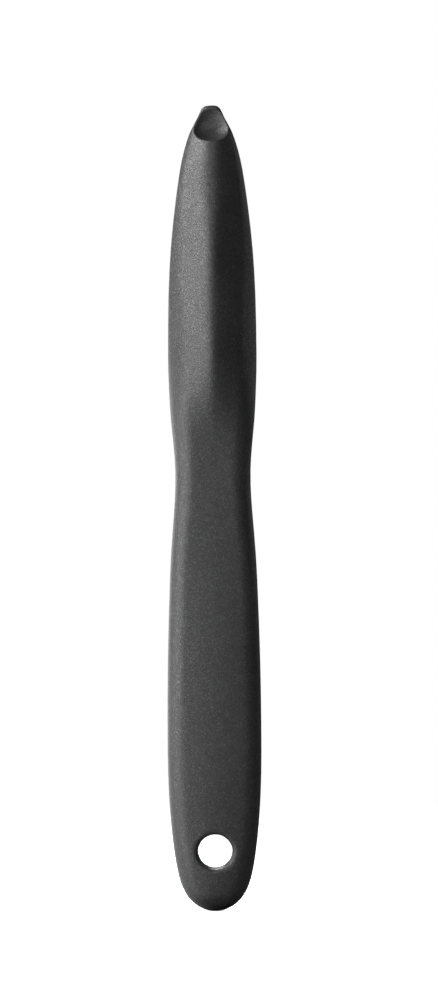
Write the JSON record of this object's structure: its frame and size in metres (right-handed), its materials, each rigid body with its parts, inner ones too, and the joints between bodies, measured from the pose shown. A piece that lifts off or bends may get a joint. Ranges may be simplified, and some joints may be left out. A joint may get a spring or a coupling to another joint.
{
  "type": "swivel peeler",
  "caption": "Straight swivel peeler with an arched bow over a slotted blade, a gouge tip, a waisted neck and a flat handle with a hang hole.",
  "frame": {"origin": "centre of the hang hole, on the handle's mid-plane", "axes": "+Z along the tool from the tail to the gouge tip, +Y towards the blade, -Y towards the ridge of the bow, +X across the tool"},
  "size_m": [0.0192, 0.013, 0.1649],
  "materials": {
    "body_plastic": "fine spark-eroded grain",
    "blade_steel": "ground along its length, edges honed",
    "pin_steel": "turned"
  },
  "bodies": {
    "frame": {"handle_frame": "body_plastic", "tip_pivot_pin": "pin_steel", "neck_pivot_pin": "pin_steel"},
    "blade": {"swivel_blade": "blade_steel"}
  },
  "joints": [
    {"name": "blade_swivel", "type": "hinge", "parent": "frame", "child": "blade", "pos_m": [0, 0.0022, 0.1107], "axis": [0, 0, 1], "range_deg": [-25, 25]}
  ]
}
